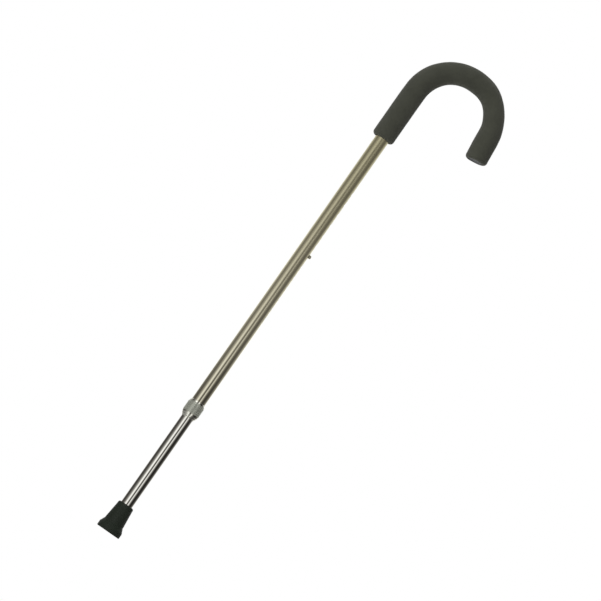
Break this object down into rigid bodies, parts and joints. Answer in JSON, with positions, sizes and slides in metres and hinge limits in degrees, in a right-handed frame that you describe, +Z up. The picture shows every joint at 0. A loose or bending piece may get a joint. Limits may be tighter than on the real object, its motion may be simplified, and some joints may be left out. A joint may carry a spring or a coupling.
{
  "type": "walking cane",
  "caption": "Height-adjustable single point walking cane: bent metal tube with a foam-padded crook, telescoping leg, locking collar and rubber tip.",
  "frame": {"origin": "centre of the rubber tip's ground face, at the 35 inch (889 mm) height setting", "axes": "+Z up the straight shaft, +X towards the opening of the crook and the snap button's side, Y across the plane of the crook"},
  "size_m": [0.1716, 0.039, 0.8889],
  "materials": {
    "satin_tube": "satin, warm champagne anodised",
    "grip_foam": "matt closed-cell foam, fine skin",
    "dark_plastic": "moulded, matt",
    "nylon": "natural nylon",
    "collar_metal": "fine-grooved grip band between polished cones",
    "polished_tube": "bright polished",
    "button_metal": "polished, pale",
    "spring_steel": "bright strip",
    "washer_steel": "plain zinc",
    "tip_rubber": "matt moulded rubber"
  },
  "bodies": {
    "upper": {"shaft_tube": "satin_tube", "foam_grip": "grip_foam", "crook_end_plug": "dark_plastic"},
    "collar_ring": {"compression_ring": "nylon"},
    "collar_nut": {"locking_nut": "collar_metal"},
    "leg": {"leg_tube": "polished_tube", "leg_top_bush": "dark_plastic", "rubber_tip": "tip_rubber", "tip_washer": "washer_steel", "button_spring": "spring_steel"},
    "button": {"snap_button": "button_metal"}
  },
  "joints": [
    {"name": "leg_slide", "type": "slide", "parent": "upper", "child": "leg", "axis": [0, 0, 1], "range_m": [-0.1143, 0.1143]},
    {"name": "button_press", "type": "slide", "parent": "leg", "child": "button", "axis": [-1, 0, 0], "range_m": [0, 0.0052], "stiffness_N_per_m": 1200, "springref_m": -0.0005, "deforming": ["button_spring"]},
    {"name": "ring_travel", "type": "slide", "parent": "upper", "child": "collar_ring", "axis": [0, 0, -1], "range_m": [0, 0.005]},
    {"name": "nut_turn", "type": "hinge", "parent": "collar_ring", "child": "collar_nut", "pos_m": [0, 0, 0.22], "axis": [0, 0, -1], "range_deg": [0, 901]}
  ],
  "couplings": [
    {"joint": "nut_turn", "follows": "ring_travel", "rad_per_m": 3141.6}
  ]
}
